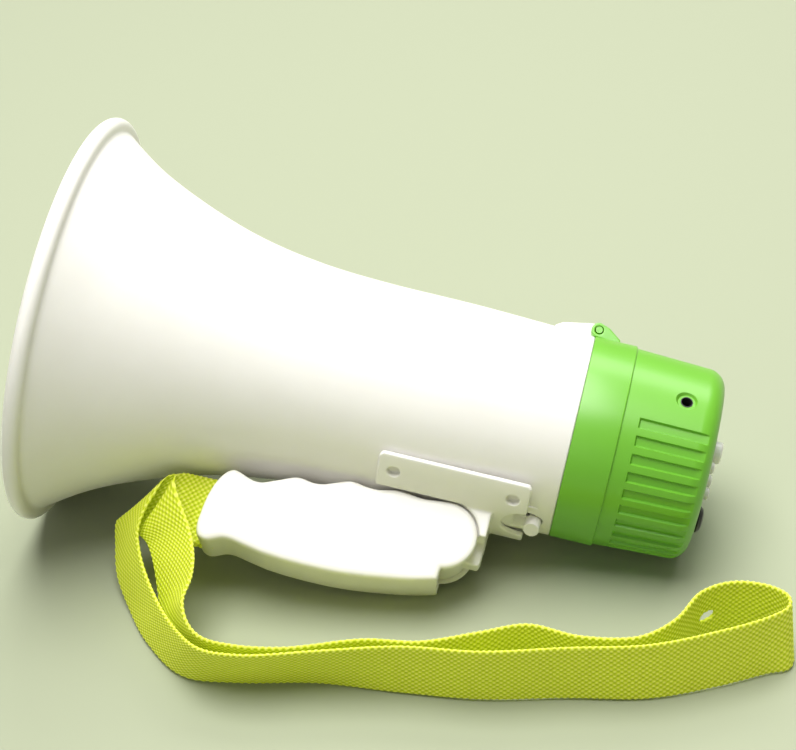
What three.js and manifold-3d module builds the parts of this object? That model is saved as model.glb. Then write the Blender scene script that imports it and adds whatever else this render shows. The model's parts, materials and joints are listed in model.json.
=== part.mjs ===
// A foldable handheld megaphone with its wrist strap, lying on its side on a table.
// Millimetres, +Z up. The table is z = 0 and the horn's mouth faces -X.
//
// The megaphone is drawn in its own upright frame first: x runs along the horn from the mouth to the
// rear, z points away from the handle, and -y is the side that faces up once it lies down. One group
// then rolls and tips it until the rim, the rear cap and the handle all touch the table.

import * as THREE from 'three';
import { mergeVertices } from 'three/addons/utils/BufferGeometryUtils.js';
import Module from 'manifold-3d';

const wasm = await Module();
wasm.setup();

// ---------------------------------------------------------------- driving dimensions

const GAP = 0.3; // between pieces that touch
const WALL = 2.2; // moulded plastic

// Horn
const MOUTH_R = 76.5;
const BEAD_R = 3; // rolled edge of the mouth
const LAND_R = 71.4; // inner edge of the flat front land
const HORN_END = 192.2; // where the horn body meets the hinged housing
const SPIGOT_END = 196.4;
const SPIGOT_R = 35.4;
const LEDGE_X = 113.4; // ledge that the driver plate is screwed to
const LEDGE_R = 32.6;

// Hinged rear housing
const RING_FRONT = 192.6;
const RING_REAR = 208.2;
const RING_R = 37.4;
const RING_BORE = 35.9;
const CAP_R = 36.6;
const CAP_REAR_R = 35.4;
const CAP_CORNER = 7;
const CAP_TAPER = 0.045; // how far the cap's side closes in, as an angle
const REAR = 242.1;
const FLUTES = 18;
const FLUTE_PITCH = THREE.MathUtils.degToRad(10.4);

// Hinge of the rear housing, on top of the horn
const HINGE = { x: 193.1, z: 38.9, pinR: 1.3, boreR: 1.6, earR: 3.7, knuckle: 6.5, ears: 10.4 };

// Handle, folded forwards under the horn, and its pivot
const PIVOT = { x: 155.6, z: -50.9 };
const HALF_GRIP = 14; // half of the handle's thickness
const GRIP_EDGE = { near: 1.5, far: 3 }; // bevels of the two shells
const CHEEK_R = 12.5;
const BOSS_R = 10.6; // the lug's round end, which the handle's fork turns on
const LUG = { half: 11.2, front: 153.9, rear: 170.8, bottom: -48.5 };
const WEB = { half: 4, r: 15.8 };

// Saddle bracket under the horn
const SADDLE = { front: 127.6, rear: 183, inner: 39.5, outer: 41.6, half: THREE.MathUtils.degToRad(42.5) };
const BRACKET_SCREW = { xs: [133.6, 177], angle: THREE.MathUtils.degToRad(32) };

// Latch button at the bottom of the horn
const LATCH = { x: 185.6, r: 2.9, tip: -41.5, shoulder: -37, angle: THREE.MathUtils.degToRad(12) };
const LATCH_BOSS = { x: 182.8, r: 7.4, top: 38.8, room: 8.3 };

// Cells, two by two
const CELL = { r: 13.1, length: 50, offset: 14.2, front: 143.6 };

// Rear controls, as y, z, radius and how far each stands out of the rear wall
const TALK = { y: -5, z: 4.9, r: 4, proud: 4.2 };
const MODES = [-1.9, -6.9, -11.8].map((z) => ({ y: -7, z, r: 2.2, proud: 2.6 }));
const VOLUME = { y: -5.5, z: -21.3, r: 5, proud: 2.4 };
const MIC = { y: 0, z: 17.5, r: 4.9 };

// Power socket on the side of the cap
const JACK = { x: 228.7, angle: THREE.MathUtils.degToRad(19.4), dishR: 3.9, holeR: 2.15 };

// Strap webbing, laid as it came to rest. Each row is one straight line across the webbing, from its
// upper edge to its lower edge, in the table's frame before the object is centred: x, y, z, x, y, z.
const STRAP_THICK = 1.6;
const STRAP_ROUTE = [
  [70, -42.9, 35.1, 68.1, -58, 24.4],
  [61.6, -42.7, 36.7, 59.7, -58.2, 25.8],
  [55.5, -45, 41, 52, -62.5, 29.5],
  [52.5, -49.5, 44.5, 43, -61, 26],
  [54.5, -56, 44.5, 39.5, -59, 25.5],
  [58.5, -62, 42, 40, -60, 25],
  [63, -69.5, 38, 44, -63, 24],
  [67, -79, 34.5, 48.5, -70.5, 20.5],
  [68, -86.5, 31, 52, -78.5, 14],
  [67, -95, 27.5, 56, -87.5, 6.5],
  [70, -102, 24.5, 62, -94, 2.5],
  [76.5, -108, 23.5, 71, -98.5, 0.8],
  [88, -110.5, 23.5, 84.5, -101, 0.8],
  [106, -109, 23.5, 103, -99.5, 0.8],
  [132, -101.5, 24.5, 129.5, -95, 0.8],
  [151.5, -100, 25, 151, -96.5, 0.8],
  [170.5, -92.5, 25.5, 171, -92, 0.8],
  [186, -86, 25.5, 186, -85, 0.8],
  [204.5, -89, 25.5, 205, -87.5, 0.8],
  [224, -86, 25.5, 224.5, -85, 0.8],
  [235, -75.5, 25.5, 235.5, -75, 0.8],
  [243, -59, 25.5, 243, -59, 0.8],
  [253, -52.5, 25.5, 253, -52, 0.8],
  [265, -52.5, 25.5, 266, -52.5, 0.8],
  [272, -56.5, 25.5, 274.5, -59, 0.8],
  [272.5, -61.5, 25, 274.5, -66.5, 0.8],
  [266, -69, 25.5, 267.5, -70, 0.8],
  [249, -79.5, 25.5, 250.5, -79.5, 0.8],
  [228, -89.5, 25.5, 228.5, -89, 0.8],
  [200.5, -95.5, 25.5, 200.5, -93.5, 0.8],
  [172.5, -102, 25.5, 171.5, -99, 0.8],
  [145.5, -103.5, 25, 143.5, -100, 0.8],
  [118.5, -108.5, 23.5, 115, -100, 0.8],
  [92, -114.5, 23, 87, -104.5, 0.8],
  [77.5, -112.5, 22, 67.5, -104.5, 0.8],
  [63.5, -99.5, 20, 50.5, -90.5, 0.8],
  [51, -82.5, 21.5, 38, -73.5, 1.2],
  [43.5, -70, 25.5, 30.5, -61.5, 6.5],
  [41.5, -63, 31, 28, -53, 13],
  [45, -55, 39, 28.5, -50, 21.5],
  [49, -47, 42.5, 36, -53.5, 24],
  [55.5, -43, 38, 50, -58, 23],
  [61, -40.4, 33.4, 59.1, -55.9, 22.6],
  [69.4, -40.6, 31.9, 67.5, -55.7, 21.2],
];

// Middle of the whole object on the table, which becomes the origin
const CENTRE = [131.6, -19.5];

// ---------------------------------------------------------------- materials

const plastic = (color, roughness = 0.4) => new THREE.MeshStandardMaterial({ color, roughness });
const metal = (color, roughness = 0.35) => new THREE.MeshStandardMaterial({ color, roughness, metalness: 1 });

const MATERIAL = {
  white: plastic(0xf4f2ea, 0.35),
  green: plastic(0x6fbe34, 0.3),
  black: plastic(0x161616, 0.4),
  strap: plastic(0xb4d92a, 0.85),
  board: plastic(0x1f5a34, 0.5),
  fibre: plastic(0x8a6a45, 0.8),
  cone: plastic(0xb9a06a, 0.5),
  cell: plastic(0x2d4f86, 0.4),
  steel: metal(0xb9bcc0),
  magnet: metal(0x55585c, 0.6),
  brass: metal(0xc9a24a),
};

// ---------------------------------------------------------------- solids

/** Turns a closed three.js geometry into a manifold-3d solid that faces out. */
function solid(geometry) {
  const bare = new THREE.BufferGeometry().setAttribute('position', geometry.getAttribute('position'));
  if (geometry.index) bare.setIndex(geometry.index);
  const merged = mergeVertices(bare, 1e-4);
  const source = merged.index.array;
  const at = merged.getAttribute('position').array;
  const triangles = [];
  let volume = 0;
  for (let i = 0; i < source.length; i += 3) {
    const [a, b, c] = [source[i], source[i + 1], source[i + 2]];
    if (a === b || b === c || c === a) continue;
    triangles.push(a, b, c);
    const [p, q, r] = [a, b, c].map((v) => new THREE.Vector3().fromArray(at, 3 * v));
    volume += p.dot(q.cross(r));
  }
  if (volume < 0) triangles.reverse();
  return new wasm.Manifold(
    new wasm.Mesh({ numProp: 3, vertProperties: at, triVerts: new Uint32Array(triangles) }),
  );
}

const join = (first, ...others) => others.reduce((a, b) => a.add(b), first);
const cut = (first, ...others) => others.reduce((a, b) => a.subtract(b), first);

/** Turns a solid back into a three.js geometry. */
function geometryOf(body) {
  const mesh = body.getMesh();
  const points = new Float32Array((mesh.vertProperties.length / mesh.numProp) * 3);
  for (let i = 0; i < points.length / 3; i += 1) {
    for (let k = 0; k < 3; k += 1) points[3 * i + k] = mesh.vertProperties[mesh.numProp * i + k];
  }
  const geometry = new THREE.BufferGeometry();
  geometry.setAttribute('position', new THREE.BufferAttribute(points, 3));
  geometry.setIndex([...mesh.triVerts]);
  const flat = geometry.toNonIndexed();
  flat.computeVertexNormals();
  return flat;
}

/** A solid of revolution about the x axis from [x, r] points. A profile off the axis is closed. */
function turned(profile, segments = 32) {
  const closed = [...profile];
  if (profile[0][1] > 0) closed.push(profile[0]);
  const points = closed.map(([x, r]) => new THREE.Vector2(r, x));
  return solid(new THREE.LatheGeometry(points, segments).rotateZ(-Math.PI / 2));
}

/** A solid cylinder along x, y or z, from one coordinate to another on that axis. */
function rod(axis, radius, from, to, [a, b], segments = 16) {
  const geometry = new THREE.CylinderGeometry(radius, radius, Math.abs(to - from), segments);
  const middle = (from + to) / 2;
  if (axis === 'x') geometry.rotateZ(-Math.PI / 2).translate(middle, a, b);
  if (axis === 'y') geometry.translate(a, middle, b);
  if (axis === 'z') geometry.rotateX(Math.PI / 2).translate(a, b, middle);
  return solid(geometry);
}

/** A solid box between two corners. */
function block(low, high) {
  const size = high.map((v, i) => v - low[i]);
  const middle = high.map((v, i) => (v + low[i]) / 2);
  return solid(new THREE.BoxGeometry(...size).translate(...middle));
}

/** An outline in x and z, extruded along y. */
function slab(shape, from, to, bevel = 0) {
  const geometry = new THREE.ExtrudeGeometry(shape, {
    depth: to - from - 2 * bevel,
    bevelEnabled: bevel > 0,
    bevelThickness: bevel,
    bevelSize: bevel,
    bevelOffset: -bevel,
    bevelSegments: 2,
    curveSegments: 8,
  });
  return solid(geometry.rotateX(Math.PI / 2).translate(0, to - bevel, 0));
}

/** Points on a circular arc in [x, r] coordinates. */
function arc([cx, cr], radius, from, to, steps) {
  return Array.from({ length: steps + 1 }, (_, i) => {
    const angle = THREE.MathUtils.degToRad(from + ((to - from) * i) / steps);
    return [cx + radius * Math.cos(angle), cr + radius * Math.sin(angle)];
  });
}

/** Moves an [x, y, z] solid drawn at the bottom of the horn round its axis, towards -y. */
function roundTheHorn(body, angle) {
  const turn = new THREE.Matrix4().makeRotationX(-angle);
  return solid(geometryOf(body).applyMatrix4(turn));
}

// ---------------------------------------------------------------- assembly helpers

const megaphone = new THREE.Group();
const groups = Object.fromEntries(
  ['horn', 'latch', 'handle', 'housing', 'controls'].map((name) => [name, new THREE.Group()]),
);
megaphone.add(...Object.values(groups));

function add(group, name, body, material) {
  const mesh = new THREE.Mesh(geometryOf(body), material);
  mesh.name = name;
  groups[group].add(mesh);
}

// ---------------------------------------------------------------- horn

const hornCurve = new THREE.SplineCurve(
  [
    [6, 71.8],
    [22, 61.3],
    [42, 52.4],
    [64, 45.3],
    [88, 41.1],
    [114, 39.4],
    [150, 38.9],
    [HORN_END, 37.2],
  ].map((p) => new THREE.Vector2(...p)),
);

/** The outside of the horn and, offset along its normal, the inside. */
function hornProfile(offset, from, to, steps) {
  return Array.from({ length: steps + 1 }, (_, i) => {
    const t = from + ((to - from) * i) / steps;
    const point = hornCurve.getPoint(t);
    const along = hornCurve.getTangent(t);
    return [point.x + offset * along.y, point.y - offset * along.x];
  });
}

function hornBell() {
  const outside = hornProfile(0, 0, 1, 14);
  const inside = hornProfile(WALL, 0.02, 5 / 7, 10);
  const shell = turned(
    [
      [0, LAND_R],
      ...arc([BEAD_R, MOUTH_R - BEAD_R], BEAD_R, 180, 0, 5),
      [2 * BEAD_R, 72.4],
      ...outside,
      [HORN_END, SPIGOT_R],
      [SPIGOT_END, SPIGOT_R],
      [SPIGOT_END, SPIGOT_R - 1.5],
      [HORN_END - 4, SPIGOT_R - 1.5],
      [LEDGE_X + 40, 36.2],
      [LEDGE_X + 4, 36.4],
      [LEDGE_X + 3, LEDGE_R],
      [LEDGE_X, LEDGE_R],
      [LEDGE_X, 36.9],
      ...inside.reverse(),
    ],
    48,
  );
  const lip = rod('z', LATCH_BOSS.r, -42, -34.2, [LATCH_BOSS.x, 0], 24)
    .intersect(rod('x', LATCH_BOSS.top, 160, 200, [0, 0], 64));
  const boss = roundTheHorn(join(lip, rod('z', 3.2, -37, -32, [LATCH.x, 0])), LATCH.angle);
  const dish = solid(
    new THREE.CylinderGeometry(LATCH.r + 0.4, LATCH.r + 3.6, 3.6, 24)
      .rotateX(Math.PI / 2)
      .translate(LATCH_BOSS.x + 0.6, 0, -37.2),
  );
  const bores = [
    dish,
    rod('z', LATCH.r + 0.4, -43, -34.6, [LATCH.x, 0]),
    rod('z', 2.1, -38, -30, [LATCH.x, 0]),
  ];
  const { x, z, earR, knuckle, boreR } = HINGE;
  const ramp = new THREE.Shape();
  ramp.moveTo(x, z + earR);
  ramp.absarc(x, z, earR, Math.PI / 2, -Math.PI / 2, true);
  ramp.lineTo(176.5, 36.6);
  ramp.quadraticCurveTo(177, 39.6, 179.5, 40.2);
  ramp.lineTo(x - 4, z + earR - 0.4);
  const room = block([HORN_END, -20, 30], [HORN_END + 12, 20, z - earR + 0.6]);
  const hornBore = turned([[170, 0], [170, 36.9], [210, 36.9], [210, 0]], 48);
  const hinge = cut(slab(ramp, -knuckle, knuckle), room, hornBore);
  const pinBore = rod('y', boreR, -20, 20, [x, z]);
  const earRooms = [-1, 1].map((side) =>
    rod('y', earR + 0.5, side * knuckle, side * (HINGE.ears + 0.5), [x, z], 24),
  );
  const screws = BRACKET_SCREW.xs.flatMap((sx) =>
    [-1, 1].map((side) => roundTheHorn(rod('z', 1.6, -44, -30, [sx, 0], 12), side * BRACKET_SCREW.angle)),
  );
  const plateScrews = platePattern().map(([y, zz]) => rod('x', 1.25, LEDGE_X - 1, LEDGE_X + 6, [y, zz], 12));
  const latchBores = bores.map((bore) => roundTheHorn(bore, LATCH.angle));
  return cut(join(shell, boss, hinge), ...latchBores, ...earRooms, pinBore, ...screws, ...plateScrews);
}

/** Where the driver plate's three screws sit. */
function platePattern() {
  return [90, 210, 330].map((deg) => {
    const angle = THREE.MathUtils.degToRad(deg);
    return [34.6 * Math.cos(angle), 34.6 * Math.sin(angle)];
  });
}

add('horn', 'horn_bell', hornBell(), MATERIAL.white);

// Reflex path inside the bell: a throat tube from the driver, and a cup that turns the sound round.
const THROAT = { front: 62, back: 110.2, bore: 8 };
const CUP = { nose: 40, back: 90, r: 27 };

function throatTube() {
  const { front, back, bore } = THROAT;
  const tube = turned(
    [
      [front, bore + 5],
      [front + 22, bore + 2.4],
      [back - 3, bore + 2],
      [back - 3, 15],
      [back - GAP, 15],
      [back - GAP, bore],
      [front + 22, bore + 0.6],
      [front, bore + 3.4],
    ],
    28,
  );
  return tube;
}

function reflectorCup() {
  const cup = turned(
    [
      [CUP.nose, 0],
      [CUP.nose + 1, 9],
      [CUP.nose + 5, 16],
      [CUP.nose + 13, 21.4],
      [CUP.nose + 28, 25],
      [CUP.back, CUP.r],
      [CUP.back, CUP.r - 1.8],
      [CUP.nose + 28, 23.2],
      [CUP.nose + 14, 19.4],
      [CUP.nose + 8, 13],
      [CUP.nose + 5, 6],
      [CUP.nose + 9, 0],
    ],
    36,
  );
  const arms = [90, 210, 330].map((deg) => {
    const arm = block([78, -1.2, -38.6], [88, 1.2, -25.6]);
    return roundTheHorn(arm, THREE.MathUtils.degToRad(deg));
  });
  const hole = rod('x', 1.7, CUP.nose - 2, CUP.nose + 12, [0, 0], 12);
  return cut(join(cup, ...arms), hole);
}

add('horn', 'throat_tube', throatTube(), MATERIAL.white);
add('horn', 'reflector_cup', reflectorCup(), MATERIAL.white);
add(
  'horn',
  'reflector_screw',
  join(
    rod('x', 1.35, CUP.nose - 1, CUP.nose + 10, [0, 0], 12),
    rod('x', 3, CUP.nose - 2, CUP.nose - GAP, [0, 0]),
  ),
  MATERIAL.steel,
);

// Driver behind its plate
function driverPlate() {
  const plate = turned(
    [
      [LEDGE_X - 3, 9.4],
      [LEDGE_X - 3, 36.2],
      [LEDGE_X - GAP, 36.2],
      [LEDGE_X - GAP, 19.6],
      [LEDGE_X - 1.2, 17],
    ],
    36,
  );
  return cut(plate, ...platePattern().map(([y, z]) => rod('x', 1.25, LEDGE_X - 6, LEDGE_X + 1, [y, z], 12)));
}

add('horn', 'driver_plate', driverPlate(), MATERIAL.white);
add(
  'horn',
  'driver_frame',
  turned(
    [
      [LEDGE_X, 20],
      [LEDGE_X, 30.5],
      [LEDGE_X + 3, 30.5],
      [LEDGE_X + 10, 26.4],
      [LEDGE_X + 18, 26.4],
      [LEDGE_X + 18, 24.5],
      [LEDGE_X + 8.4, 24.5],
      [LEDGE_X + 6, 20],
    ],
    28,
  ),
  MATERIAL.black,
);
add(
  'horn',
  'driver_diaphragm',
  turned(
    [
      [LEDGE_X + 0.4, 0],
      [LEDGE_X + 2.4, 9],
      [LEDGE_X + 3.6, 19.5],
      [LEDGE_X + 4.4, 19.5],
      [LEDGE_X + 3.4, 9],
      [LEDGE_X + 1.4, 0],
    ],
    24,
  ),
  MATERIAL.cone,
);
add(
  'horn',
  'driver_magnet',
  turned([[LEDGE_X + 8.8, 0], [LEDGE_X + 8.8, 24.1], [LEDGE_X + 19.5, 24.1], [LEDGE_X + 19.5, 0]], 28),
  MATERIAL.magnet,
);
platePattern().forEach(([y, z], i) => {
  const shank = rod('x', 0.95, LEDGE_X - 4, LEDGE_X + 2.6, [y, z], 8);
  const head = rod('x', 1.5, LEDGE_X - 4.8, LEDGE_X - 3.3, [y, z], 12);
  add('horn', `driver_screw_${i + 1}`, join(shank, head), MATERIAL.steel);
});

// Cells in their cradle
const cellPlaces = [[-1, -1], [1, -1], [1, 1], [-1, 1]].map(([a, b]) => [a * CELL.offset, b * CELL.offset]);

function batteryCradle() {
  const from = CELL.front - 2;
  const to = CELL.front + CELL.length - 4;
  return join(block([from, -0.8, -26], [to, 0.8, 33.4]), block([from, -33.4, -0.8], [to, 33.4, 0.8]));
}

add('horn', 'battery_cradle', batteryCradle(), MATERIAL.black);
const CONTACTS = { front: 137, back: 138.6, r: 35 };
add(
  'horn',
  'front_contact_board',
  turned(
    [
      [CONTACTS.front, 0],
      [CONTACTS.front, CONTACTS.r],
      [CONTACTS.back, CONTACTS.r],
      [CONTACTS.back, 0],
    ],
    32,
  ),
  MATERIAL.fibre,
);
cellPlaces.forEach(([y, z], i) => {
  const { r, front, length } = CELL;
  const can = turned(
    [
      [front, 0],
      [front, r],
      [front + length - 1.4, r],
      [front + length - 1.4, 3],
      [front + length, 3],
      [front + length, 0],
    ],
    24,
  );
  add('horn', `battery_cell_${i + 1}`, solid(geometryOf(can).translate(0, y, z)), MATERIAL.cell);
  const spring = coil([CONTACTS.back + GAP, y, z], [front - GAP, y, z], 4.5, 2.4, 0.45, 3);
  add('horn', `battery_spring_${i + 1}`, spring, MATERIAL.steel);
});

/** A spring wound between two points, from one radius to another. */
function coil(from, to, startR, endR, wire, turns) {
  const start = new THREE.Vector3(...from);
  const axis = new THREE.Vector3(...to).sub(start);
  const alongY = new THREE.Vector3(0, 1, 0);
  const side = alongY.clone().cross(axis).lengthSq() > 1 ? alongY : new THREE.Vector3(1, 0, 0);
  const other = axis.clone().normalize().cross(side);
  class Helix extends THREE.Curve {
    getPoint(t, target = new THREE.Vector3()) {
      const inset = (wire + 0.05) / axis.length();
      const radius = startR + (endR - startR) * t;
      const angle = 2 * Math.PI * turns * t;
      return target
        .copy(start)
        .addScaledVector(axis, inset + (1 - 2 * inset) * t)
        .addScaledVector(side, radius * Math.cos(angle))
        .addScaledVector(other, radius * Math.sin(angle));
    }
  }
  const section = new THREE.Shape();
  section.absarc(0, 0, wire, 0, 2 * Math.PI, false);
  const geometry = new THREE.ExtrudeGeometry(section, {
    steps: 10 * turns,
    extrudePath: new Helix(),
    curveSegments: 3,
    bevelEnabled: false,
  });
  return solid(geometry);
}

// Saddle bracket with the tongue that the handle turns on
function saddleBracket() {
  const { front, rear, inner, outer, half } = SADDLE;
  const down = -Math.PI / 2;
  const section = new THREE.Shape();
  section.absarc(0, 0, outer, down - half, down + half, false);
  section.absarc(0, 0, inner, down + half, down - half, true);
  const sheet = new THREE.ExtrudeGeometry(section, {
    depth: rear - front,
    bevelEnabled: false,
    curveSegments: 14,
  });
  const matrix = new THREE.Matrix4().makeBasis(
    new THREE.Vector3(0, 1, 0),
    new THREE.Vector3(0, 0, 1),
    new THREE.Vector3(1, 0, 0),
  );
  const saddle = solid(sheet.applyMatrix4(matrix).translate(front, 0, 0));
  const slotHalf = HALF_GRIP + 0.8;
  const slot = block([front - 1, -slotHalf, -50], [PIVOT.x + CHEEK_R + 0.9, slotHalf, -30]);
  const lug = new THREE.Shape();
  lug.moveTo(LUG.front, -30);
  lug.lineTo(LUG.front, LUG.bottom);
  lug.lineTo(LUG.rear, LUG.bottom);
  lug.lineTo(LUG.rear, -30);
  const boss = rod('y', BOSS_R, -LUG.half, LUG.half, [PIVOT.x, PIVOT.z], 32);
  const web = rod('y', WEB.r, -WEB.half, WEB.half, [PIVOT.x, PIVOT.z], 40);
  const webRoom = block([PIVOT.x + 6, -10, PIVOT.z - 6.2], [LUG.rear, 10, LUG.bottom + 1]);
  const hornRoom = turned([[100, 0], [100, inner], [200, inner], [200, 0]], 56);
  const pivot = rod('y', 3, -20, 20, [PIVOT.x, PIVOT.z]);
  const latchRoom = roundTheHorn(rod('z', LATCH_BOSS.room, -50, -30, [LATCH_BOSS.x, 0], 32), LATCH.angle);
  const screws = BRACKET_SCREW.xs.flatMap((x) =>
    [-1, 1].flatMap((side) => [
      roundTheHorn(rod('z', 1.7, -46, -36, [x, 0], 12), side * BRACKET_SCREW.angle),
      roundTheHorn(rod('z', 2.6, -46, -40.4, [x, 0], 16), side * BRACKET_SCREW.angle),
    ]),
  );
  const plate = cut(saddle, slot);
  const hanger = cut(join(slab(lug, -LUG.half, LUG.half, 0.8), boss, web.intersect(webRoom)), hornRoom);
  return cut(join(plate, hanger), pivot, latchRoom, ...screws);
}

add('horn', 'saddle_bracket', saddleBracket(), MATERIAL.white);
BRACKET_SCREW.xs.forEach((x, i) => {
  [1, -1].forEach((side, k) => {
    const screw = join(rod('z', 1.25, -40.9, -34.6, [x, 0], 12), rod('z', 2.25, -41.2, -40.7, [x, 0], 16));
    const placed = roundTheHorn(screw, side * BRACKET_SCREW.angle);
    add('horn', `bracket_screw_${2 * i + k + 1}`, placed, MATERIAL.steel);
  });
});

add(
  'horn',
  'hinge_pin',
  rod('y', HINGE.pinR, -HINGE.ears - 0.2, HINGE.ears + 0.2, [HINGE.x, HINGE.z], 16),
  MATERIAL.green,
);

// Latch: a sprung button in a dished boss
function latchButton() {
  const head = rod('z', LATCH.r, LATCH.tip - 1, LATCH.shoulder, [LATCH.x, 0], 20);
  const slant = block([LATCH.x - 6, -8, -8], [LATCH.x + 6, 8, 0]);
  const tipped = solid(
    geometryOf(slant).rotateX(THREE.MathUtils.degToRad(-20)).translate(0, 0, LATCH.tip),
  );
  const stem = rod('z', 1.7, LATCH.shoulder - 0.5, -30, [LATCH.x, 0], 12);
  const collar = rod('z', 3, -31.2, -30.4, [LATCH.x, 0], 16);
  return roundTheHorn(join(cut(head, tipped), stem, collar), LATCH.angle);
}

const latchSpring = coil([LATCH.x, 0, -30.1], [LATCH.x, 0, -26.8], 2.4, 2.4, 0.3, 3);
add('latch', 'latch_button', latchButton(), MATERIAL.white);
add('horn', 'latch_spring', roundTheHorn(latchSpring, LATCH.angle), MATERIAL.steel);

// ---------------------------------------------------------------- handle

function gripOutline() {
  const line = new THREE.SplineCurve(
    [
      [PIVOT.x, PIVOT.z + CHEEK_R],
      [146.3, -39.6],
      [140.5, -38.9],
      [135, -38.7],
      [129.5, -40.2],
      [124, -40],
      [118.6, -39.4],
      [110, -42.9],
      [105, -43.2],
      [99.6, -42.6],
      [88.4, -47.6],
      [83, -47],
      [77.2, -45.2],
      [73, -49.4],
      [70.6, -56.5],
      [69.8, -63],
      [69.6, -68.4],
      [71, -72.4],
      [74.8, -73.4],
      [79, -71.4],
      [83, -71],
      [95, -73.2],
      [110, -74],
      [125, -73.5],
      [140, -71.5],
      [150.5, -69.4],
      [157.6, -67.4],
    ].map((p) => new THREE.Vector2(...p)),
  );
  const grip = new THREE.Shape(line.getPoints(2 * (line.points.length - 1)));
  const heel = Math.asin(2.2 / CHEEK_R);
  grip.absarc(PIVOT.x, PIVOT.z, CHEEK_R, heel - Math.PI / 2, Math.PI / 2, false);
  return grip;
}

/** The hollow inside the grip, the same outline drawn simply and further in. */
function gripHollow() {
  const hollow = new THREE.Shape();
  hollow.moveTo(136, -45);
  hollow.lineTo(112, -47);
  hollow.lineTo(98, -48.6);
  hollow.lineTo(88, -51.4);
  hollow.lineTo(77, -50);
  hollow.quadraticCurveTo(72.6, -60, 72.4, -69.6);
  hollow.lineTo(83, -68.4);
  hollow.quadraticCurveTo(110, -73.4, 136, -68.6);
  return hollow;
}

const handleScrews = [[93, -66], [114, -64], [131, -56]];
const strapPin = { x: 81, r: 1.6, top: -48.8, bottom: -70 };

/** Room inside the fork for the bracket's lug, its round end and its web. */
function forkRoom() {
  const half = LUG.half + GAP;
  const { x, z } = PIVOT;
  const web = rod('y', WEB.r + 0.4, -WEB.half - GAP, WEB.half + GAP, [x, z], 40);
  return join(
    rod('y', BOSS_R + 0.5, -half, half, [x, z], 32),
    block([LUG.front - 0.5, -half, z], [200, half, -30]),
    block([x + 0.4, -half, z - CHEEK_R - 0.5], [200, half, z]),
    web.intersect(block([x - 7, -20, -80], [200, 20, z])),
  );
}

function handleShell(side) {
  const outer = slab(gripOutline(), -HALF_GRIP, HALF_GRIP, side < 0 ? GRIP_EDGE.near : GRIP_EDGE.far);
  const hollow = slab(gripHollow(), -HALF_GRIP + WALL, HALF_GRIP - WALL);
  const posts = handleScrews.map(([x, z]) => rod('y', 3, -HALF_GRIP + 1, HALF_GRIP - 1, [x, z], 12));
  const hornRoom = turned([[100, 0], [100, 39.9], [200, 39.9], [200, 0]], 56);
  const mouth = block([60, -3.6, -70.6], [78, 3.6, -50.4]);
  const pin = rod('z', strapPin.r + GAP, strapPin.bottom, strapPin.top, [strapPin.x, 0], 12);
  const pinSeat = rod('z', 3, strapPin.bottom - 0.4, strapPin.bottom + 2, [strapPin.x, 0], 12);
  const bolt = join(
    rod('y', 2.5, -HALF_GRIP + 1.4, 20, [PIVOT.x, PIVOT.z], 16),
    rod('y', 4.2, HALF_GRIP - 1.6, 20, [PIVOT.x, PIVOT.z], 20),
  );
  const screws = handleScrews.flatMap(([x, z]) => [
    rod('y', 1.5, -HALF_GRIP + 3.4, 20, [x, z], 12),
    rod('y', 2.9, HALF_GRIP - 3, 20, [x, z], 16),
  ]);
  const holes = [forkRoom(), hornRoom, mouth, pin, bolt, ...screws];
  const body = cut(join(cut(outer, hollow), ...posts, pinSeat), ...holes);
  const half = side < 0
    ? block([50, -20, -90], [190, -GAP / 2, -30])
    : block([50, GAP / 2, -90], [190, 20, -30]);
  return body.intersect(half);
}

add('handle', 'handle_near_shell', handleShell(-1), MATERIAL.white);
add('handle', 'handle_far_shell', handleShell(1), MATERIAL.white);
add(
  'handle',
  'pivot_bolt',
  join(
    rod('y', 2.15, -HALF_GRIP + 1.8, HALF_GRIP - 0.6, [PIVOT.x, PIVOT.z], 16),
    rod('y', 3.8, HALF_GRIP - 1.3, HALF_GRIP - 0.2, [PIVOT.x, PIVOT.z], 20),
  ),
  MATERIAL.steel,
);
handleScrews.forEach(([x, z], i) => {
  const screw = join(
    rod('y', 1.15, -HALF_GRIP + 3.8, HALF_GRIP - 1.4, [x, z], 12),
    rod('y', 2.5, HALF_GRIP - 2.7, HALF_GRIP - 1.2, [x, z], 16),
  );
  add('handle', `handle_screw_${i + 1}`, screw, MATERIAL.steel);
});
add(
  'handle',
  'strap_pin',
  rod('z', strapPin.r, strapPin.bottom + GAP, strapPin.top - GAP, [strapPin.x, 0], 12),
  MATERIAL.steel,
);

// ---------------------------------------------------------------- rear housing

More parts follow.
